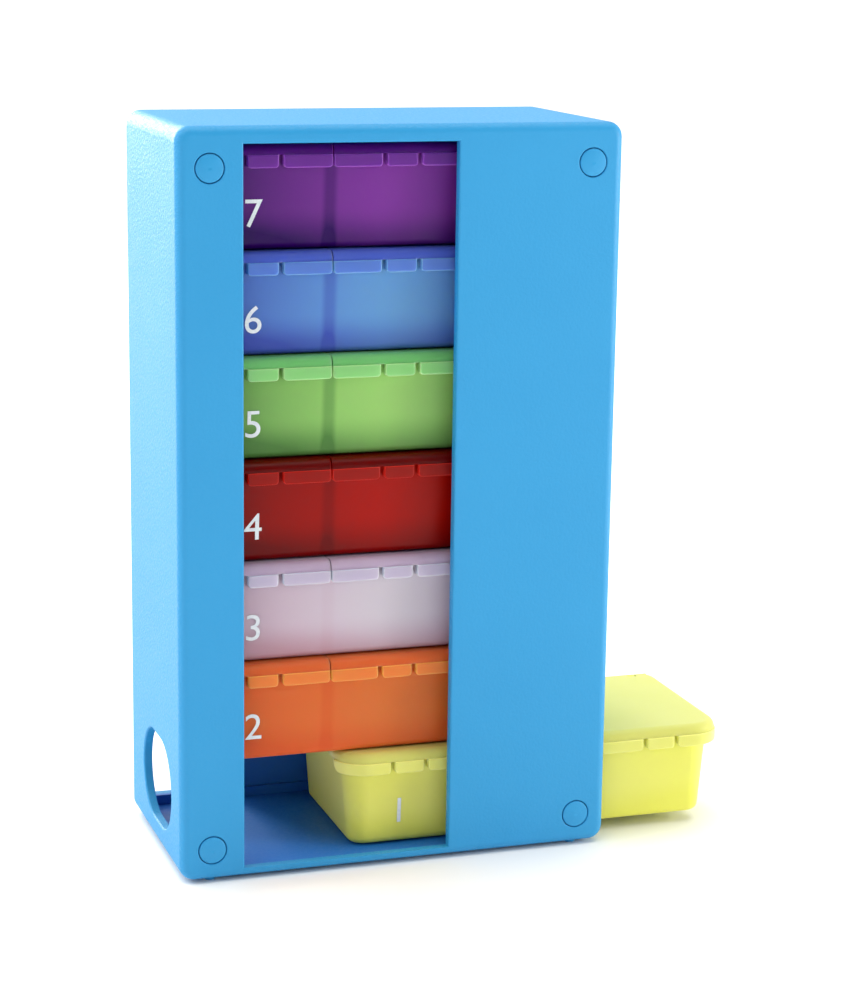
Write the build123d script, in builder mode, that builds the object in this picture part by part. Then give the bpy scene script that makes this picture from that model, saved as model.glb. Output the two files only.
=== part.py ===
from build123d import *
import math
import os

# Weekly pill organizer: an upright case holds a stack of lidded trays, and the bottom tray slides out at the right.
# Millimetres, +Z up, the front faces -Y. The origin is the centre of the case's underside.

# Counts
tray_count = 7
compartment_count = 3

# Stack of trays
tray_height = 24.6
stack_gap = 0.2
tray_floor_gap = 0.3
stack_shift = 0.4
pull_out = 37.6

# Tray base
compartment_pitch = 33.6
end_trim = 1.2
base_depth = 45.2
base_wall = 1.2
base_floor = 1.4
base_draft_degrees = 4.5
base_corner_radius = 6.0
base_bottom_round = 1.8
divider_thickness = 1.2
compartment_floor_round = 1.2

# Tray lids
lid_thickness = 1.5
lid_split = 0.35
lid_edge_round = 2.0
lid_base_gap = 0.4
rim_gap = 0.3
band_thickness = 1.5
band_height = 2.4
tab_proud = 0.4
tab_height = 3.0
latch_tab_width = 7.4
tab_slot_width = 1.2
tab_corner_round = 0.9
tab_edge_round = 0.3
tab_wrap = 6.9
tab_end_round = 2.6
lid_back_corner_radius = 4.0

# Lid hinge
barrel_radius = 1.5
hinge_inset = 0.9
hinge_clearance = 0.4
pin_radius = 0.8
pin_clearance = 0.08
ear_offset = 11.0
ear_thickness = 2.0
ear_side_gap = 0.25
ear_root_depth = 3.0
ear_mouth_width = 1.3

# Case
wall = 2.2
floor_thickness = 1.7
panel_thickness = 2.2
end_float = 0.8
front_clearance = 1.3
rear_clearance = 1.2
headroom = 2.4
outline_corner_radius = 3.6
front_edge_round = 2.2
rear_edge_round = 1.0

# Case openings
window_left_margin = 15.7
window_width = 51.9
window_sill = 2.2
window_top_margin = 4.1
window_edge_round = 0.5
finger_hole_length = 31.0
finger_hole_height = 22.6
finger_hole_shift = -1.5
finger_hole_rise = 16.0
finger_hole_edge_round = 0.5
exit_headroom = 0.9

# Back panel seat and its finger opening
rebate_width = 0.6
panel_fit_gap = 0.1
lip_thickness = 1.1
lip_height = 2.5
back_opening_margin = 1.4
back_opening_width = 22.0
back_opening_height = 24.0
back_opening_corner_radius = 2.0

# Corner plugs
plug_side_inset = 7.8
plug_bottom_inset = 7.5
plug_top_inset = 9.5
plug_head_radius = 3.3
plug_head_depth = 1.3
plug_shank_radius = 2.2
plug_crown = 0.25
plug_ring_gap = 0.22
plug_edge_round = 0.3
plug_fit_gap = 0.05

# Feet
foot_radius = 1.2
foot_height = 0.8
foot_side_inset = 7.8
foot_front_inset = 3.6

# One overrun serves all cuts
overrun = 2.0

# Tray sizes that follow
draft_slope = math.tan(math.radians(base_draft_degrees))
base_length = compartment_count * compartment_pitch - 2 * end_trim
base_height = tray_height - lid_thickness - rim_gap
base_draft_run = base_height * draft_slope
hinge_y = base_depth / 2 - hinge_inset
hinge_z = tray_height - barrel_radius
barrel_reach = barrel_radius + hinge_clearance
back_wall_top = hinge_z - barrel_reach
lid_inner_length = base_length + 2 * lid_base_gap
lid_inner_front = -base_depth / 2 - lid_base_gap
band_length = lid_inner_length + 2 * band_thickness
band_front = lid_inner_front - band_thickness
skirt_length = band_length + 2 * tab_proud
skirt_front = band_front - tab_proud
lid_back = hinge_y + barrel_radius
band_bottom = tray_height - band_height
skirt_bottom = band_bottom - tab_height
lid_inner_corner_radius = base_corner_radius + lid_base_gap
band_corner_radius = lid_inner_corner_radius + band_thickness
skirt_corner_radius = band_corner_radius + tab_proud
tab_wrap_end = skirt_front + tab_wrap
barrel_length = band_length - 2 * lid_edge_round
compartment_centres = [
    (index - (compartment_count - 1) / 2) * compartment_pitch for index in range(compartment_count)
]
divider_centres = [centre + compartment_pitch / 2 for centre in compartment_centres[:-1]]
ear_centres = [centre + side * ear_offset for centre in compartment_centres for side in (-1, 1)]

# Case sizes that follow
tray_pitch = tray_height + stack_gap
tray_depth = lid_back - skirt_front
inner_width = skirt_length + 2 * end_float
inner_depth = tray_depth + front_clearance + rear_clearance
first_tray_z = floor_thickness + tray_floor_gap
ceiling = first_tray_z + tray_count * tray_pitch - stack_gap + headroom
case_width = inner_width + 2 * wall
case_depth = inner_depth + wall + panel_thickness
case_height = ceiling + wall
front_y = -case_depth / 2
inner_front = front_y + wall
inner_rear = inner_front + inner_depth
tray_y = inner_front + front_clearance - skirt_front
left_x = -case_width / 2
window_left = left_x + window_left_margin
window_top = case_height - window_top_margin
panel_width = inner_width + 2 * (rebate_width - panel_fit_gap)
panel_bottom = floor_thickness - rebate_width + panel_fit_gap
panel_top = ceiling + rebate_width - panel_fit_gap
cavity_corner_radius = outline_corner_radius - wall
rebate_corner_radius = cavity_corner_radius + rebate_width
plug_x = case_width / 2 - plug_side_inset
plug_heights = {"bottom": plug_bottom_inset, "top": case_height - plug_top_inset}
plug_sides = {"left": -plug_x, "right": plug_x}
foot_x = case_width / 2 - foot_side_inset
foot_y = case_depth / 2 - foot_front_inset


def save(part, name):
    """Label a finished piece and write it under its own name."""
    part.label = name
    export_step(part, f"parts/{name}.step")


os.makedirs("parts", exist_ok=True)

# Case body: front, both sides, top and floor in one moulding, open at the back
with BuildPart() as case_body:
    with BuildSketch(Plane.XZ.offset(-front_y)) as case_outline:
        with Locations((0, case_height / 2)):
            RectangleRounded(case_width, case_height, outline_corner_radius)
    extrude(amount=-case_depth)
    fillet(case_body.faces().sort_by(Axis.Y)[0].edges(), radius=front_edge_round)
    fillet(case_body.faces().sort_by(Axis.Y)[-1].edges(), radius=rear_edge_round)

    # Tray space, cut from the back
    with BuildSketch(Plane.XZ.offset(-inner_front)) as cavity_outline:
        with Locations((0, (floor_thickness + ceiling) / 2)):
            RectangleRounded(inner_width, ceiling - floor_thickness, cavity_corner_radius)
    extrude(amount=-(case_depth - wall + overrun), mode=Mode.SUBTRACT)

    # Rear rebate that seats the back panel, and the lip on the floor in front of the panel
    with BuildSketch(Plane.XZ.offset(-inner_rear)) as rebate_outline:
        with Locations((0, (floor_thickness + ceiling) / 2)):
            RectangleRounded(
                inner_width + 2 * rebate_width,
                ceiling - floor_thickness + 2 * rebate_width,
                rebate_corner_radius,
            )
    extrude(amount=-(panel_thickness + overrun), mode=Mode.SUBTRACT)
    with BuildSketch(Plane.XY.offset(floor_thickness)) as lip_outline:
        with Locations((0, inner_rear - lip_thickness / 2)):
            Rectangle(inner_width, lip_thickness)
    extrude(amount=lip_height)

    # Window over the stack
    with BuildSketch(Plane.XZ.offset(-front_y)) as window_outline:
        with Locations((window_left + window_width / 2, (window_sill + window_top) / 2)):
            Rectangle(window_width, window_top - window_sill)
    extrude(amount=-wall, mode=Mode.SUBTRACT)

    # Finger hole in the left side, and the way out for the bottom tray in the right side
    with BuildSketch(Plane.YZ.offset(left_x)) as finger_hole_outline:
        with Locations((finger_hole_shift, first_tray_z + finger_hole_rise)):
            SlotOverall(finger_hole_length, finger_hole_height)
    extrude(amount=wall, mode=Mode.SUBTRACT)
    with BuildSketch(Plane.YZ.offset(inner_width / 2 - cavity_corner_radius)) as exit_outline:
        exit_height = first_tray_z + tray_height + exit_headroom - floor_thickness
        with Locations(((inner_front + inner_rear) / 2, floor_thickness + exit_height / 2)):
            Rectangle(inner_depth, exit_height)
    extrude(amount=cavity_corner_radius + wall, mode=Mode.SUBTRACT)

    # Seats for the corner plugs
    for plug_z in plug_heights.values():
        for plug_side in plug_sides.values():
            with Locations(Plane((plug_side, front_y, plug_z), z_dir=(0, -1, 0))):
                CounterBoreHole(
                    radius=plug_shank_radius + plug_fit_gap,
                    counter_bore_radius=plug_head_radius + plug_ring_gap,
                    counter_bore_depth=plug_head_depth,
                    depth=wall,
                )

    # Feet under the floor
    with BuildSketch(Plane.XY) as feet_outline:
        with GridLocations(2 * foot_x, 2 * foot_y, 2, 2):
            Circle(foot_radius)
    extrude(amount=-foot_height)

    # Soft edges at the sides and the top of the window, round the plug seats and round the finger hole
    front_edges = case_body.faces().filter_by(Axis.Y).sort_by(Axis.Y)[0].edges()
    inner_lines = front_edges.filter_by(GeomType.LINE).filter_by_position(Axis.X, -plug_x, plug_x)
    window_edges = inner_lines.filter_by_position(Axis.Z, window_sill + overrun, window_top + window_edge_round)
    fillet(window_edges, radius=window_edge_round)
    front_edges = case_body.faces().filter_by(Axis.Y).sort_by(Axis.Y)[0].edges()
    fillet(front_edges.filter_by(lambda edge: edge.is_closed), radius=plug_edge_round)
    left_face = case_body.faces().filter_by(Axis.X).sort_by(Axis.X)[0]
    fillet(left_face.inner_wires()[0].edges(), radius=finger_hole_edge_round)
save(case_body.part, "case_body")

# Back panel, seated in the rear rebate, with a finger opening behind the bottom tray
with BuildPart() as back_panel:
    with BuildSketch(Plane.XZ.offset(-inner_rear)) as panel_outline:
        with Locations((0, (panel_bottom + panel_top) / 2)):
            RectangleRounded(panel_width, panel_top - panel_bottom, rebate_corner_radius - panel_fit_gap)
        opening_x = -inner_width / 2 + back_opening_margin + back_opening_width / 2
        opening_z = floor_thickness + lip_height + back_opening_height / 2
        with Locations((opening_x, opening_z)):
            RectangleRounded(
                back_opening_width, back_opening_height, back_opening_corner_radius, mode=Mode.SUBTRACT
            )
    extrude(amount=-panel_thickness)
save(back_panel.part, "back_panel")

# Corner plug: a low crowned head on a short shank, no longer than the wall is thick
with BuildPart() as corner_plug:
    with BuildSketch(Plane.XY) as plug_profile:
        with BuildLine():
            Polyline(
                (0, -plug_crown),
                (0, wall),
                (plug_shank_radius, wall),
                (plug_shank_radius, plug_head_depth),
                (plug_head_radius, plug_head_depth),
                (plug_head_radius, 0),
            )
            TangentArc((0, -plug_crown), (plug_head_radius, 0), tangent=(1, 0))
        make_face()
    revolve(axis=Axis.Y)
    head_rim = corner_plug.edges().filter_by(lambda edge: edge.is_closed).sort_by(Axis.Y)[0]
    fillet(head_rim, radius=plug_edge_round)
for end_name, plug_z in plug_heights.items():
    for side_name, plug_side in plug_sides.items():
        save(corner_plug.part.moved(Location((plug_side, front_y, plug_z))), f"corner_plug_{end_name}_{side_name}")

# Tray base: a drafted box with dividers, and clip ears along the back for the lids' pins
with BuildPart() as tray_base:
    with BuildSketch(Plane.XY) as base_outline:
        RectangleRounded(
            base_length - 2 * base_draft_run,
            base_depth - 2 * base_draft_run,
            base_corner_radius - base_draft_run,
        )
    extrude(amount=base_height, taper=-base_draft_degrees)
    fillet(tray_base.faces().sort_by(Axis.Z)[0].edges(), radius=base_bottom_round)

    # Inside of the box
    floor_run = (base_height - base_floor) * draft_slope
    with BuildSketch(Plane.XY.offset(base_floor)) as inside_outline:
        RectangleRounded(
            base_length - 2 * (base_wall + floor_run),
            base_depth - 2 * (base_wall + floor_run),
            base_corner_radius - base_wall - floor_run,
        )
    extrude(amount=base_height - base_floor, taper=-base_draft_degrees, mode=Mode.SUBTRACT)

    # Dividers between the compartments
    for divider_x in divider_centres:
        half_depth_top = (base_depth - base_wall) / 2
        half_depth_floor = half_depth_top - floor_run
        with BuildSketch(Plane.YZ.offset(divider_x - divider_thickness / 2)) as divider_outline:
            with BuildLine():
                Polyline(
                    (-half_depth_floor, base_floor),
                    (half_depth_floor, base_floor),
                    (half_depth_top, base_height),
                    (-half_depth_top, base_height),
                    close=True,
                )
            make_face()
        extrude(amount=divider_thickness)
    floor_edges = tray_base.edges().filter_by_position(Axis.Z, base_floor, base_floor)
    fillet(floor_edges, radius=compartment_floor_round)

    # Room for the hinge barrels along the top of the back wall
    with BuildSketch(Plane.XY.offset(back_wall_top)) as barrel_room_outline:
        with Locations((0, hinge_y)):
            Rectangle(base_length + 2 * overrun, 2 * barrel_reach)
    extrude(amount=base_height - back_wall_top + overrun, mode=Mode.SUBTRACT)

    # Clip ears that hold the lids' pins, each with a mouth at the back
    for ear_x in ear_centres:
        ear_root = back_wall_top - ear_root_depth
        with BuildSketch(Plane.YZ.offset(ear_x - ear_thickness / 2)) as ear_outline:
            with Locations((hinge_y, (ear_root + hinge_z) / 2)):
                Rectangle(2 * barrel_radius, hinge_z - ear_root)
            with Locations((hinge_y, hinge_z)):
                Circle(barrel_radius)
        extrude(amount=ear_thickness)
        with BuildSketch(Plane.YZ.offset(ear_x - ear_thickness / 2)) as clip_outline:
            with Locations((hinge_y, hinge_z)):
                Circle(pin_radius + pin_clearance)
            with Locations((hinge_y + barrel_radius, hinge_z)):
                Rectangle(2 * barrel_radius, ear_mouth_width)
        extrude(amount=ear_thickness, mode=Mode.SUBTRACT)


def build_lid(index):
    """One lid of a tray, with its share of the band, the notched skirt and the hinge barrel."""
    centre = compartment_centres[index]
    first, last = index == 0, index == compartment_count - 1
    left = -skirt_length / 2 if first else centre - (compartment_pitch - lid_split) / 2
    right = skirt_length / 2 if last else centre + (compartment_pitch - lid_split) / 2
    latch_slot_offset = (latch_tab_width + tab_slot_width) / 2
    straight_half = skirt_length / 2 - skirt_corner_radius - tab_edge_round
    with BuildPart() as lid:
        # Band round the top plate
        with BuildSketch(Plane.XY.offset(band_bottom)) as band_outline:
            with Locations((0, (band_front + lid_back) / 2)):
                Rectangle(band_length, lid_back - band_front)
            fillet(band_outline.vertices().group_by(Axis.Y)[0], radius=band_corner_radius)
            fillet(band_outline.vertices().group_by(Axis.Y)[-1], radius=lid_back_corner_radius)
        extrude(amount=band_height)
        top_edges = lid.faces().sort_by(Axis.Z)[-1].edges()
        fillet(top_edges.sort_by(Axis.Y)[:-1], radius=lid_edge_round)

        # Skirt below the band, a little proud of it
        with BuildSketch(Plane.XY.offset(skirt_bottom)) as skirt_outline:
            with Locations((0, (skirt_front + lid_back) / 2)):
                Rectangle(skirt_length, lid_back - skirt_front)
            fillet(skirt_outline.vertices().group_by(Axis.Y)[0], radius=skirt_corner_radius)
            fillet(skirt_outline.vertices().group_by(Axis.Y)[-1], radius=lid_back_corner_radius)
        extrude(amount=tab_height)

        # Hollow that fits over the base, open to the back
        with BuildSketch(Plane.XY.offset(skirt_bottom)) as hollow_outline:
            with Locations((0, (lid_inner_front + lid_back + overrun) / 2)):
                Rectangle(lid_inner_length, lid_back + overrun - lid_inner_front)
            fillet(hollow_outline.vertices().group_by(Axis.Y)[0], radius=lid_inner_corner_radius)
        extrude(amount=tray_height - lid_thickness - skirt_bottom, mode=Mode.SUBTRACT)

        # The skirt stops just round the corner, with a round lower end
        with BuildSketch(Plane.YZ.offset(-skirt_length / 2)) as wrap_outline:
            with BuildLine():
                Polyline(
                    (tab_wrap_end, skirt_bottom + tab_end_round),
                    (tab_wrap_end, band_bottom),
                    (lid_back, band_bottom),
                    (lid_back, skirt_bottom),
                    (tab_wrap_end - tab_end_round, skirt_bottom),
                )
                TangentArc(
                    (tab_wrap_end - tab_end_round, skirt_bottom),
                    (tab_wrap_end, skirt_bottom + tab_end_round),
                    tangent=(1, 0),
                )
            make_face()
        extrude(amount=skirt_length, mode=Mode.SUBTRACT)

        # Barrel along the back edge: what is behind the hinge axis goes, and the round goes on
        with BuildSketch(Plane.XY.offset(skirt_bottom - overrun)) as behind_outline:
            with Locations((0, hinge_y + barrel_radius)):
                Rectangle(skirt_length + 2 * overrun, 2 * barrel_radius)
        extrude(amount=tray_height - skirt_bottom + 2 * overrun, mode=Mode.SUBTRACT)
        with BuildSketch(Plane.YZ.offset(-barrel_length / 2)) as barrel_outline:
            with Locations((hinge_y, hinge_z)):
                Circle(barrel_radius)
        extrude(amount=barrel_length)

        # This lid's stretch of the tray
        with BuildSketch(Plane.XY.offset(skirt_bottom)) as stretch_outline:
            with Locations(((left + right) / 2, 0)):
                Rectangle(right - left, 2 * tray_depth)
        extrude(amount=tray_height - skirt_bottom, mode=Mode.INTERSECT)

        # Slots on both sides of the latch tab, and round lower corners on the tabs
        with BuildSketch(Plane.XZ.offset(-skirt_front)) as slot_outline:
            with Locations((centre, skirt_bottom + tab_height / 2)):
                with GridLocations(2 * latch_slot_offset, 0, 2, 1):
                    Rectangle(tab_slot_width, tab_height)
        extrude(amount=-(lid_inner_front - skirt_front), mode=Mode.SUBTRACT)
        low_edges = lid.edges().filter_by(Axis.Y).group_by(Axis.Z)[0]
        tab_edges = low_edges.filter_by(lambda edge: edge.center().Y < lid_inner_front)
        fillet(tab_edges, radius=tab_corner_round)

        # Soft rims on the tabs' faces
        tab_rims = lid.faces().filter_by(Axis.Y).group_by(Axis.Y)[0].edges()
        fillet(tab_rims.filter_by(lambda edge: abs(edge.center().X) < straight_half), radius=tab_edge_round)

        # Gaps in the barrel for the ears, with the pin going on through them
        for side in (-1, 1):
            gap_width = ear_thickness + 2 * ear_side_gap
            gap_left = centre + side * ear_offset - gap_width / 2
            with BuildSketch(Plane.YZ.offset(gap_left)) as gap_outline:
                with Locations((hinge_y, hinge_z)):
                    Rectangle(2 * barrel_reach, 2 * barrel_reach)
            extrude(amount=gap_width, mode=Mode.SUBTRACT)
            with BuildSketch(Plane.YZ.offset(gap_left)) as pin_outline:
                with Locations((hinge_y, hinge_z)):
                    Circle(pin_radius)
            extrude(amount=gap_width)
    return lid.part


lid_names = ["lid_left", "lid_middle", "lid_right"]
lids = [build_lid(index) for index in range(compartment_count)]

# Trays from the bottom up: the first one is pulled out to the right, the others wait in the case
for tray_index in range(tray_count):
    tray_x = pull_out if tray_index == 0 else stack_shift
    place = Location((tray_x, tray_y, first_tray_z + tray_index * tray_pitch))
    tray_name = f"tray_{tray_index + 1}"
    save(tray_base.part.moved(place), f"{tray_name}_base")
    for lid_name, lid_part in zip(lid_names, lids):
        save(lid_part.moved(place), f"{tray_name}_{lid_name}")
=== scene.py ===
# %% [markdown]
# # Weekly pill organizer
# An upright blue case holds a stack of seven lidded trays, one for each day. A finger in the hole
# at the left has pushed the bottom tray out at the right. The solids come from the CAD model and
# are true to size, so Blender's share of the work is the look: two kinds of plastic, the white
# print on the trays, soft light and the camera.

# %% Load the solids
import math

import bpy
from mathutils import Matrix, Vector


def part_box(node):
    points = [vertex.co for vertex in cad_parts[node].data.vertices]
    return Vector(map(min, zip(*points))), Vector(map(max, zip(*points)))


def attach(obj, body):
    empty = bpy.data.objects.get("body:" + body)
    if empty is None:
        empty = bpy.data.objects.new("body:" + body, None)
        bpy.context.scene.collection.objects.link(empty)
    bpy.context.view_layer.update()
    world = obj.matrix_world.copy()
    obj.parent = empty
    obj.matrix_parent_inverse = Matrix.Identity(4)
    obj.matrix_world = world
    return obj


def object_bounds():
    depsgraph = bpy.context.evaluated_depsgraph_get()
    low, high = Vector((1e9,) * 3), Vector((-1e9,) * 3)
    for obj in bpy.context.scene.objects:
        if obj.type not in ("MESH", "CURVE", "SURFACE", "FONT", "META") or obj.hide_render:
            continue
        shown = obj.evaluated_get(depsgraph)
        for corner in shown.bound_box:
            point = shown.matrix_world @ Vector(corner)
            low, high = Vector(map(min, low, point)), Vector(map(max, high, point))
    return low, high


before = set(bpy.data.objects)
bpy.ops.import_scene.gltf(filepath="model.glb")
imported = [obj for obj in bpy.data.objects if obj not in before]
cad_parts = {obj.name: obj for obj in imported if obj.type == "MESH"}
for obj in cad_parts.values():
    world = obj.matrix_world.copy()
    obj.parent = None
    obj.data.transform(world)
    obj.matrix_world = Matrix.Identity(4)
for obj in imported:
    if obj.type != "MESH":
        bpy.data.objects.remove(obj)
cad_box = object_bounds()
MM = 0.001

# %% [markdown]
# ## Helpers for every finish
# Colours are picked as sRGB hex values, the way a paint chart or a picture gives them, but shaders
# work with linear light, so one function makes that change. The others each add a node, set it and
# link it. With them a material reads as a short list of what feeds what.

# %% Colour and node helpers
MIX_FIRST = 6
MIX_SECOND = 7
MIX_RESULT = 2


def linear(hex_colour):
    """An sRGB hex colour such as 289EDE as linear red, green, blue and alpha, by the sRGB curve."""
    shares = [int(hex_colour[i:i + 2], 16) / 255 for i in (0, 2, 4)]
    return [c / 12.92 if c <= 0.04045 else ((c + 0.055) / 1.055) ** 2.4 for c in shares] + [1.0]


def add_node(tree, kind, settings=None, links=None):
    """Add a node to a tree, set its sockets or options, and link other nodes' outputs to its inputs."""
    made = tree.nodes.new(kind)
    for key, value in (settings or {}).items():
        if hasattr(made, str(key)):
            setattr(made, key, value)
        else:
            made.inputs[key].default_value = value
    for key, source in (links or {}).items():
        tree.links.new(source, made.inputs[key])
    return made


def split(tree, vector):
    """The X, Y and Z outputs of a vector."""
    return add_node(tree, "ShaderNodeSeparateXYZ", links={"Vector": vector}).outputs


def noise(tree, where, size_mm, detail, roughness=0.5):
    """Noise that is fixed to the object, with features size_mm across."""
    settings = {"Scale": 1 / (size_mm * MM), "Detail": detail, "Roughness": roughness}
    links = {"Vector": where.outputs["Object"]}
    return add_node(tree, "ShaderNodeTexNoise", settings, links).outputs["Fac"]


def calculate(tree, operation, *values, clamp=False):
    """A step of arithmetic on numbers and other nodes' outputs."""
    made = add_node(tree, "ShaderNodeMath", {"operation": operation, "use_clamp": clamp})
    for i, value in enumerate(values):
        if isinstance(value, (int, float)):
            made.inputs[i].default_value = value
        else:
            tree.links.new(value, made.inputs[i])
    return made.outputs["Value"]


def ramp(tree, value, given, wanted, smooth=False):
    """Turn a value that runs over the pair given into one that runs over the pair wanted."""
    settings = {
        "interpolation_type": "SMOOTHSTEP" if smooth else "LINEAR",
        "From Min": given[0],
        "From Max": given[1],
        "To Min": wanted[0],
        "To Max": wanted[1],
    }
    return add_node(tree, "ShaderNodeMapRange", settings, {"Value": value}).outputs["Result"]


def mix_colours(tree, first, second):
    """A mix of two hex colours. The caller links its factor, which is input 0."""
    settings = {"data_type": "RGBA", MIX_FIRST: linear(first), MIX_SECOND: linear(second)}
    return add_node(tree, "ShaderNodeMix", settings)


print("linear white:", linear("FFFFFF"))

# %% [markdown]
# ## Case: moulded ABS
# The case is ABS, moulded in a tool whose steel was spark eroded. That leaves a matte skin of tiny
# pits: it kills mirror reflections on the front, and glitters where a face is seen at a flat angle,
# as on the left side. The pits are about 0.1 mm wide on a real tool. They are drawn at 0.7 mm here,
# because finer ones fall between the pixels. The front, which is made to be printed on, has a finer
# skin than the sides, so its pits are shallow. The core that shapes the inside of the case is left
# smooth, so the inside has no pits. Light that gets in there goes from wall to wall and dims, and
# that shade is painted in: the inside gets a deeper blue. A box just larger than the tray space
# tells inside from outside.

# %% Case finish
pit_size_mm = 0.7
pit_depth_mm = 0.2
pit_detail = 2.0
pit_roughness = 0.6
cloud_size_mm = 30
cloud_detail = 2.0
case_blues = ("2494D2", "2999D6")
# painted shade: the inside of the case is coloured this deeper blue
inside_shade_blue = "1D73D0"
noise_spread = (0.3, 0.7)
case_roughness = (0.42, 0.6)
case_ior = 1.53
case_specular = 0.4
front_to_side = (-1.0, -0.5)
pit_depth_share = (0.25, 1.0)
case_wall_mm = 2.2
case_floor_mm = 1.7
foot_height_mm = 0.8
skin_margin_mm = 0.1

case_finish = bpy.data.materials.new("moulded_abs_blue")
case_finish.use_nodes = True
tree = case_finish.node_tree
skin = tree.nodes["Principled BSDF"]
where = add_node(tree, "ShaderNodeTexCoord")
along = split(tree, where.outputs["Object"])
facing = split(tree, where.outputs["Normal"])
pits = noise(tree, where, pit_size_mm, pit_detail, pit_roughness)
clouds = noise(tree, where, cloud_size_mm, cloud_detail)
tint = mix_colours(tree, *case_blues)
tree.links.new(clouds, tint.inputs[0])
gloss = ramp(tree, pits, noise_spread, case_roughness)

low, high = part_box("case_body")
inside_low = low + Vector((case_wall_mm, case_wall_mm, foot_height_mm + case_floor_mm)) * MM
inside_high = high - Vector((case_wall_mm, case_wall_mm, case_wall_mm)) * MM
middle = (inside_low + inside_high) / 2
reach = (inside_high - inside_low) / 2 + Vector((skin_margin_mm, skin_margin_mm, skin_margin_mm)) * MM
within = [calculate(tree, "COMPARE", along[axis], middle[axis], reach[axis]) for axis in range(3)]
inside = calculate(tree, "MULTIPLY", calculate(tree, "MULTIPLY", within[0], within[1]), within[2])
outside = calculate(tree, "SUBTRACT", 1.0, inside)
# painted shade: faces inside the case take the deeper inside blue
shade = add_node(
    tree,
    "ShaderNodeMix",
    {"data_type": "RGBA", MIX_SECOND: linear(inside_shade_blue)},
    {0: inside, MIX_FIRST: tint.outputs[MIX_RESULT]},
)

coarse = ramp(tree, facing["Y"], front_to_side, pit_depth_share)
relief = add_node(
    tree,
    "ShaderNodeBump",
    {"Distance": pit_depth_mm * MM},
    {"Height": pits, "Strength": calculate(tree, "MULTIPLY", outside, coarse)},
)
skin.inputs["IOR"].default_value = case_ior
skin.inputs["Specular IOR Level"].default_value = case_specular
tree.links.new(shade.outputs[MIX_RESULT], skin.inputs["Base Color"])
tree.links.new(gloss, skin.inputs["Roughness"])
tree.links.new(relief.outputs["Normal"], skin.inputs["Normal"])
print("case finish:", case_finish.name)

# %% [markdown]
# ## Trays: translucent polypropylene
# Each day has its colour, in the same milky polypropylene. Light goes into the wall, is scattered
# and comes out a little further on. That light and shade is painted into the colour: the middle of
# a compartment, with only air behind it, is painted pale, while the dividers and the round bottom
# edge, with more plastic behind them, are painted deep as shade. The lids hang over the walls, and
# the light that leaves at the rims of the tabs is painted on the lids.
# Scattering over one to three millimetres makes the walls milky, and a small share of rough
# transmission lets some light straight through. The depth of the colour is painted: it follows the
# distance to the next divider and to the floor, in millimetres of the real tray.

# %% Tray colours
# Per tray: a pale and a deep colour for the base, between which the painted light and shade runs; the
# lid's own colour; a paler colour, the painted light of its tabs; and the share of painted shade at the
# dividers. The clear tray's pink deep colour is a painted glow of the orange tray below.
tray_colours = {
    1: {
        "name": "yellow",
        "pale": "FFFF92",
        "deep": "F6F874",
        "lid": "DCDC7E",
        "tab": "FEFF96",
        "scatter_mm": 1,
        "divider_shade_share": 0.4,
    },
    2: {
        "name": "orange",
        "pale": "FA8040",
        "deep": "EA6430",
        "lid": "E06C38",
        "tab": "FFAD57",
        "scatter_mm": 3,
        "divider_shade_share": 0.4,
    },
    3: {
        "name": "clear",
        "pale": "E2D8EC",
        "deep": "C8A2B4",
        "lid": "BEACC8",
        "tab": "CED4E8",
        "scatter_mm": 3,
        "divider_shade_share": 0.1,
    },
    4: {
        "name": "red",
        "pale": "B60C03",
        "deep": "760000",
        "lid": "680000",
        "tab": "D4271E",
        "scatter_mm": 3,
        "divider_shade_share": 0.4,
    },
    5: {
        "name": "green",
        "pale": "A8E080",
        "deep": "5C904C",
        "lid": "76C278",
        "tab": "B4E59D",
        "scatter_mm": 3,
        "divider_shade_share": 0.4,
    },
    6: {
        "name": "blue",
        "pale": "70AAEC",
        "deep": "465CC0",
        "lid": "5068CC",
        "tab": "75ABE2",
        "scatter_mm": 3,
        "divider_shade_share": 0.4,
    },
    7: {
        "name": "purple",
        "pale": "8C3CAC",
        "deep": "340066",
        "lid": "541280",
        "tab": "9E54C6",
        "scatter_mm": 3,
        "divider_shade_share": 0.4,
    },
}
print("colours:", [colours["name"] for colours in tray_colours.values()])

# %% Polypropylene
haze_size_mm = 14
haze_detail = 3.0
ripple_size_mm = 9
ripple_detail = 1.0
ripple_depth_mm = 0.05
ripple_strength = 0.3
tray_roughness = (0.28, 0.4)
tray_ior = 1.49
tray_specular = 0.1
clarity_share = 0.15


def polypropylene(name, pale, deep, scatter_mm):
    """Satin polypropylene that goes from pale to deep. The caller links the tint node's factor, the
    painted light and shade.
    """
    finish = bpy.data.materials.new("translucent_pp_" + name)
    finish.use_nodes = True
    tree = finish.node_tree
    skin = tree.nodes["Principled BSDF"]
    where = add_node(tree, "ShaderNodeTexCoord")
    haze = noise(tree, where, haze_size_mm, haze_detail)
    ripple = noise(tree, where, ripple_size_mm, ripple_detail)
    tint = mix_colours(tree, pale, deep)
    gloss = ramp(tree, haze, noise_spread, tray_roughness)
    relief = add_node(
        tree,
        "ShaderNodeBump",
        {"Strength": ripple_strength, "Distance": ripple_depth_mm * MM},
        {"Height": ripple},
    )
    skin.inputs["IOR"].default_value = tray_ior
    skin.inputs["Specular IOR Level"].default_value = tray_specular
    skin.inputs["Transmission Weight"].default_value = clarity_share
    skin.inputs["Subsurface Weight"].default_value = 1.0
    skin.inputs["Subsurface Radius"].default_value = (1.0, 1.0, 1.0)
    skin.inputs["Subsurface Scale"].default_value = scatter_mm * MM
    tree.links.new(tint.outputs[MIX_RESULT], skin.inputs["Base Color"])
    tree.links.new(gloss, skin.inputs["Roughness"])
    tree.links.new(relief.outputs["Normal"], skin.inputs["Normal"])
    return finish, where, tint


print("polypropylene haze, mm:", haze_size_mm)
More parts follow.
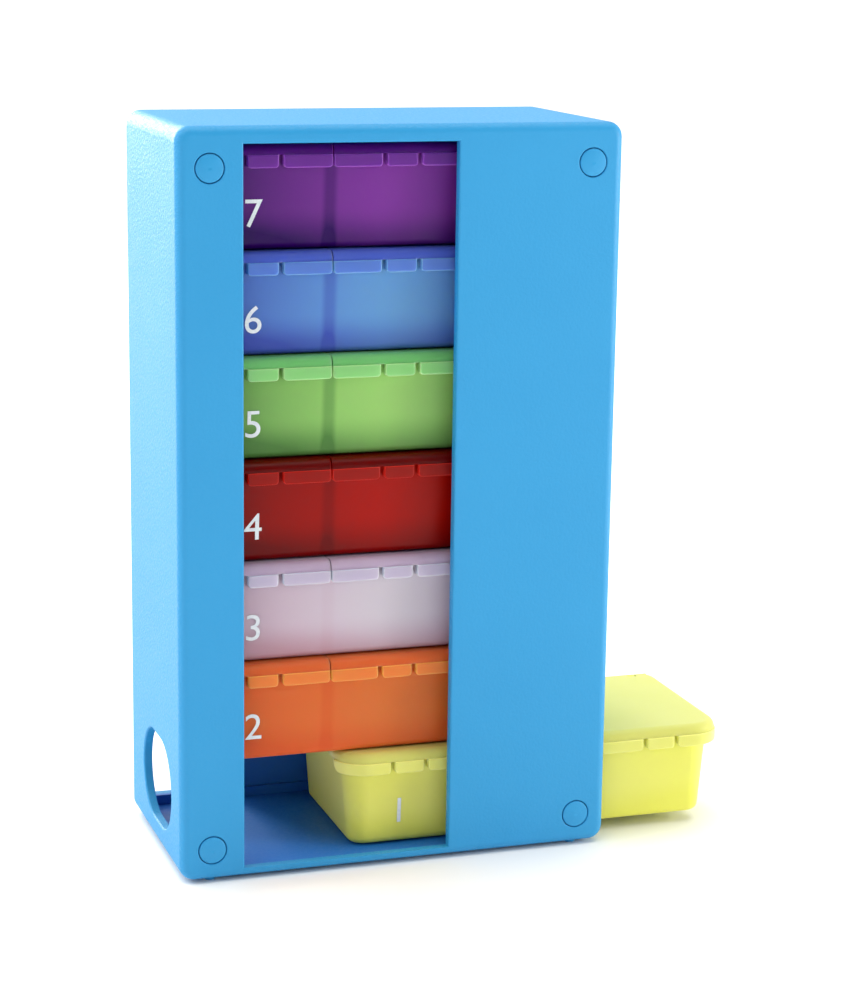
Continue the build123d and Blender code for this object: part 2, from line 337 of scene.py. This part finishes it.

# %% [markdown]
# ## Painted shade at the dividers, the ends and the floor
# A tray is symmetric, so the distance from its middle does for both halves. The two dividers stand
# half a pitch from the middle and show as bands of painted shade. The middle compartment is painted
# as getting most light, so painted shade deepens slowly towards the ends. Height above the tray's
# underside gives painted shade towards the floor. For the clear tray the deep colour is pink, a
# painted glow of the orange tray below seen through it.

# %% Finish of the tray bases
compartment_pitch_mm = 33.6
divider_edge_mm = (0.6, 2.4)
end_shade_mm = (4.0, 40.0)
end_shade_share = 0.7
floor_shade_mm = (0.5, 10.0)
floor_shade_share = 0.6
base_finishes = {}
for number, colours in tray_colours.items():
    finish, where, tint = polypropylene(
        colours["name"] + "_base", colours["pale"], colours["deep"], colours["scatter_mm"]
    )
    tree = finish.node_tree
    low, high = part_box(f"tray_{number}_base")
    along = split(tree, where.outputs["Object"])
    across = calculate(tree, "SUBTRACT", along["X"], (low[0] + high[0]) / 2)
    off_middle = calculate(tree, "ABSOLUTE", across)
    past_divider = calculate(tree, "SUBTRACT", off_middle, compartment_pitch_mm / 2 * MM)
    spacing = calculate(tree, "ABSOLUTE", past_divider)
    # painted shade: bands at the dividers, deepening towards the ends and the floor
    divider_edge = [edge * MM for edge in divider_edge_mm]
    divider = ramp(tree, spacing, divider_edge, (colours["divider_shade_share"], 0.0), smooth=True)
    end_shade = ramp(tree, off_middle, [edge * MM for edge in end_shade_mm], (0.0, end_shade_share))
    floor_edge = [low[2] + edge * MM for edge in floor_shade_mm]
    floor_shade = ramp(tree, along["Z"], floor_edge, (floor_shade_share, 0.0), smooth=True)
    sideways_shade = calculate(tree, "ADD", divider, end_shade)
    depth = calculate(tree, "ADD", sideways_shade, floor_shade, clamp=True)
    tree.links.new(depth, tint.inputs[0])
    base_finishes[number] = finish
print("base finishes:", [finish.name for finish in base_finishes.values()])

# %% [markdown]
# ## Painted light on the lids' tabs
# The skirt of tabs hangs free of the wall, so it is lit from both sides; that light is painted in,
# as a paler colour than the lid above it. Its rims get a painted highlight that is paler still. The
# tabs are picked by height, and the rims by how far the surface turns away from the front.

# %% Finish of the lids
band_bottom_mm = 2.4
face_to_rim = (-0.97, -0.7)
tab_share = (0.36, 1.0)
lid_finishes = {}
for number, colours in tray_colours.items():
    finish, where, tint = polypropylene(
        colours["name"] + "_lid", colours["lid"], colours["tab"], colours["scatter_mm"]
    )
    tree = finish.node_tree
    lid_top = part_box(f"tray_{number}_lid_left")[1][2]
    along = split(tree, where.outputs["Object"])
    facing = split(tree, where.outputs["Normal"])
    # painted light: the tabs are paler than the lid, with a painted highlight on their rims
    skirt = calculate(tree, "LESS_THAN", along["Z"], lid_top - band_bottom_mm * MM)
    rim_highlight = ramp(tree, facing["Y"], face_to_rim, tab_share)
    painted_tab_light = calculate(tree, "MULTIPLY", skirt, rim_highlight)
    tree.links.new(painted_tab_light, tint.inputs[0])
    lid_finishes[number] = finish
print("lid finishes:", [finish.name for finish in lid_finishes.values()])

# %% [markdown]
# ## Dress the solids
# The CAD pieces keep their shape. Each gets its finish in its material slot: the case, its back and
# its corner plugs the blue ABS, and each tray with its three lids the colour of its day.

# %% Put the finishes on
for name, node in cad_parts.items():
    finish = case_finish
    if name.startswith("tray_"):
        number = int(name.split("_")[1])
        finish = base_finishes[number] if name.endswith("_base") else lid_finishes[number]
    node.data.materials.clear()
    node.data.materials.append(finish)
print("dressed:", len(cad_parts))

# %% [markdown]
# ## Print on the trays
# The trays carry white pad print. It is a film of ink a few hundredths of a millimetre thick, so it
# is made as a thin solid that lies on the plastic. A Geometry Nodes tree turns a string into
# curves, fills them, gives them thickness and lays them where three angles and a point say. One
# tree serves every mark. Plain numbers stand for the days.

# %% Ink
speckle_size_mm = 0.6
speckle_detail = 3.0
ink_whites = ("CFDCEA", "F7F9FD")
ink_roughness = 0.55
ink = bpy.data.materials.new("white_pad_print_ink")
ink.use_nodes = True
tree = ink.node_tree
skin = tree.nodes["Principled BSDF"]
where = add_node(tree, "ShaderNodeTexCoord")
tint = mix_colours(tree, *ink_whites)
tree.links.new(noise(tree, where, speckle_size_mm, speckle_detail), tint.inputs[0])
skin.inputs["Roughness"].default_value = ink_roughness
tree.links.new(tint.outputs[MIX_RESULT], skin.inputs["Base Color"])
print("ink:", ink.name)

# %% Print tree
weld_mm = 0.001
print_tree = bpy.data.node_groups.new("pad_print", "GeometryNodeTree")
print_sockets = {}
for label, kind in (
    ("Mark", "NodeSocketString"),
    ("Figure Height", "NodeSocketFloat"),
    ("Ink Thickness", "NodeSocketFloat"),
    ("Lean", "NodeSocketVector"),
    ("Place", "NodeSocketVector"),
):
    socket = print_tree.interface.new_socket(label, in_out="INPUT", socket_type=kind)
    print_sockets[label] = socket.identifier
print_tree.interface.new_socket("Geometry", in_out="OUTPUT", socket_type="NodeSocketGeometry")
given = add_node(print_tree, "NodeGroupInput").outputs
figures = add_node(
    print_tree,
    "GeometryNodeStringToCurves",
    {"align_x": "LEFT", "align_y": "BOTTOM_BASELINE"},
    {"String": given["Mark"], "Size": given["Figure Height"]},
)
outlines = add_node(
    print_tree, "GeometryNodeRealizeInstances", links={"Geometry": figures.outputs["Curve Instances"]}
)
film = add_node(print_tree, "GeometryNodeFillCurve", links={"Curve": outlines.outputs["Geometry"]})
raised = add_node(
    print_tree,
    "GeometryNodeExtrudeMesh",
    {"Individual": False},
    {"Mesh": film.outputs["Mesh"], "Offset Scale": given["Ink Thickness"]},
)
underside = add_node(print_tree, "GeometryNodeFlipFaces", links={"Mesh": film.outputs["Mesh"]})
closed = add_node(print_tree, "GeometryNodeJoinGeometry", links={"Geometry": raised.outputs["Mesh"]})
print_tree.links.new(underside.outputs["Mesh"], closed.inputs["Geometry"])
welded = add_node(
    print_tree,
    "GeometryNodeMergeByDistance",
    {"Distance": weld_mm * MM},
    {"Geometry": closed.outputs["Geometry"]},
)
laid = add_node(
    print_tree,
    "GeometryNodeTransform",
    links={
        "Geometry": welded.outputs["Geometry"],
        "Rotation": given["Lean"],
        "Translation": given["Place"],
    },
)
realized = add_node(
    print_tree, "GeometryNodeRealizeInstances", links={"Geometry": laid.outputs["Geometry"]}
)
inked = add_node(
    print_tree,
    "GeometryNodeSetMaterial",
    {"Material": ink},
    {"Geometry": realized.outputs["Geometry"]},
)
add_node(print_tree, "NodeGroupOutput", links={"Geometry": inked.outputs["Geometry"]})
print("print tree nodes:", len(print_tree.nodes))

# %% Print maker
ink_thickness_mm = 0.06


def pad_print(name, mark, height_mm, lean, place, body):
    """Lay one printed mark: run the tree once, keep the result as a plain mesh, and tie it to its body."""
    carrier = bpy.data.objects.new(name + "_tree", bpy.data.meshes.new(name + "_start"))
    bpy.context.scene.collection.objects.link(carrier)
    nodes_modifier = carrier.modifiers.new("pad print", "NODES")
    nodes_modifier.node_group = print_tree
    settings = {
        "Mark": mark,
        "Figure Height": height_mm * MM,
        "Ink Thickness": ink_thickness_mm * MM,
        "Lean": lean,
        "Place": place,
    }
    for label, value in settings.items():
        nodes_modifier[print_sockets[label]] = value
    evaluated = carrier.evaluated_get(bpy.context.evaluated_depsgraph_get())
    mesh = bpy.data.meshes.new_from_object(evaluated)
    bpy.data.objects.remove(carrier)
    piece = bpy.data.objects.new(name, mesh)
    bpy.context.scene.collection.objects.link(piece)
    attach(piece, body)
    return piece


print("ink thickness, mm:", ink_thickness_mm)

# %% Day numbers on the tray fronts
front_draft_degrees = 4.5
wall_top_mm = 22.8
figure_height_mm = 9.4
baseline_mm = 5.4
print_start_mm = 11.6
front_lean = (math.radians(90 + front_draft_degrees), 0, 0)
inset_mm = (wall_top_mm - baseline_mm) * math.tan(math.radians(front_draft_degrees))
for number in tray_colours:
    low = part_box(f"tray_{number}_base")[0]
    place = low + Vector((print_start_mm, inset_mm, baseline_mm)) * MM
    mark = pad_print(
        f"tray_{number}_day_print", str(number), figure_height_mm, front_lean, place, f"tray_{number}"
    )
    print(mark.name, len(mark.data.polygons), "faces")

# %% [markdown]
# ## Floor, light and camera
# A wide pale floor runs out past the picture on every side. A white world gives the even light of a
# light tent. It is dim in front, where the camera would stand in the tent's opening, and brighter
# at the left. A soft sun from above lights the top and the floor. Two lamps at the left bring out
# that side and the round edge beside it, and a third at the right glances along the front, so the
# edges of the window catch it. The camera stands where the picture was taken: its place, aim, roll
# and lens were fitted to the edges of the case.

# %% Floor
floor_radius_m = 12.0
floor_gap_mm = 0.05
floor_corners = 64
floor_colour = "F6F6F6"
floor_roughness = 0.9
floor_mesh = bpy.data.meshes.new("floor")
floor_z = cad_box[0][2] - floor_gap_mm * MM
turns = [math.tau * i / floor_corners for i in range(floor_corners)]
corners = [(floor_radius_m * math.cos(turn), floor_radius_m * math.sin(turn), floor_z) for turn in turns]
floor_mesh.from_pydata(corners, [], [range(floor_corners)])
floor = bpy.data.objects.new("floor", floor_mesh)
bpy.context.scene.collection.objects.link(floor)
floor_paint = bpy.data.materials.new("pale_floor")
floor_paint.use_nodes = True
skin = floor_paint.node_tree.nodes["Principled BSDF"]
skin.inputs["Base Color"].default_value = linear(floor_colour)
skin.inputs["Roughness"].default_value = floor_roughness
floor_mesh.materials.append(floor_paint)
print("floor radius, m:", floor_radius_m)

# %% Light tent
front_to_back = (-1.0, 0.3)
tent_strength = (0.08, 1.0)
left_to_middle = (-1.0, -0.3)
left_strength = (0.5, 0.0)
world = bpy.data.worlds.new("light_tent")
bpy.context.scene.world = world
world.use_nodes = True
tree = world.node_tree
sky = tree.nodes["Background"]
where = add_node(tree, "ShaderNodeTexCoord")
heading = split(tree, where.outputs["Generated"])
wall_light = ramp(tree, heading["Y"], front_to_back, tent_strength)
left_light = ramp(tree, heading["X"], left_to_middle, left_strength)
tent_light = calculate(tree, "ADD", wall_light, left_light)
sky.inputs["Color"].default_value = linear("FFFFFF")
tree.links.new(tent_light, sky.inputs["Strength"])
bpy.context.scene.view_settings.view_transform = "Standard"
print("world:", world.name)

# %% Lamps
lamp_colour = linear("FFFCF0")[:3]
lamps = {
    "left_skim_lamp": {
        "place": (-0.28, 1.10, 0.42),
        "aim": (-0.05, 0.0, 0.14),
        "width": 0.4,
        "height": 0.6,
        "watts": 11,
    },
    "left_key_lamp": {
        "place": (-0.40, 0.0, 0.36),
        "aim": (-0.05, 0.0, 0.12),
        "width": 0.2,
        "height": 0.2,
        "watts": 0.5,
    },
    "right_front_lamp": {
        "place": (0.60, -0.28, 0.18),
        "aim": (0.0, -0.02, 0.09),
        "width": 0.25,
        "height": 0.35,
        "watts": 2.6,
    },
}
ceiling_strength = 1.8
ceiling_degrees = 60


def soft_lamp(name, place, aim, width, height, watts):
    """A rectangular soft lamp at place, facing aim. Lengths are in metres."""
    lamp = bpy.data.lights.new(name, "AREA")
    lamp.color = lamp_colour
    lamp.shape = "RECTANGLE"
    lamp.size = width
    lamp.size_y = height
    lamp.energy = watts
    lamp_object = bpy.data.objects.new(name, lamp)
    lamp_object.location = place
    lamp_object.rotation_euler = (Vector(aim) - Vector(place)).to_track_quat("-Z", "Y").to_euler()
    bpy.context.scene.collection.objects.link(lamp_object)


for name, lamp in lamps.items():
    soft_lamp(name, **lamp)
ceiling = bpy.data.lights.new("ceiling_light", "SUN")
ceiling.color = lamp_colour
ceiling.energy = ceiling_strength
ceiling.angle = math.radians(ceiling_degrees)
bpy.context.scene.collection.objects.link(bpy.data.objects.new("ceiling_light", ceiling))

# %% Camera
camera_place = Vector((-181.21, -586.18, 223.03)) * MM
camera_aim = Vector((14.88, 0.0, 86.25)) * MM
camera_roll_degrees = 0.8126
lens_mm = 92.355
sensor_width_mm = 36.0
nearest_m = 0.01
farthest_m = 100.0
camera = bpy.data.cameras.new("camera")
camera.lens = lens_mm
camera.sensor_width = sensor_width_mm
camera.clip_start = nearest_m
camera.clip_end = farthest_m
camera_object = bpy.data.objects.new("camera", camera)
turn = (camera_aim - camera_place).to_track_quat("-Z", "Y").to_matrix().to_4x4()
roll = Matrix.Rotation(math.radians(camera_roll_degrees), 4, "Z")
camera_object.matrix_world = Matrix.Translation(camera_place) @ turn @ roll
bpy.context.scene.collection.objects.link(camera_object)
bpy.context.scene.camera = camera_object
print("camera at, mm:", [round(v / MM) for v in camera_place])
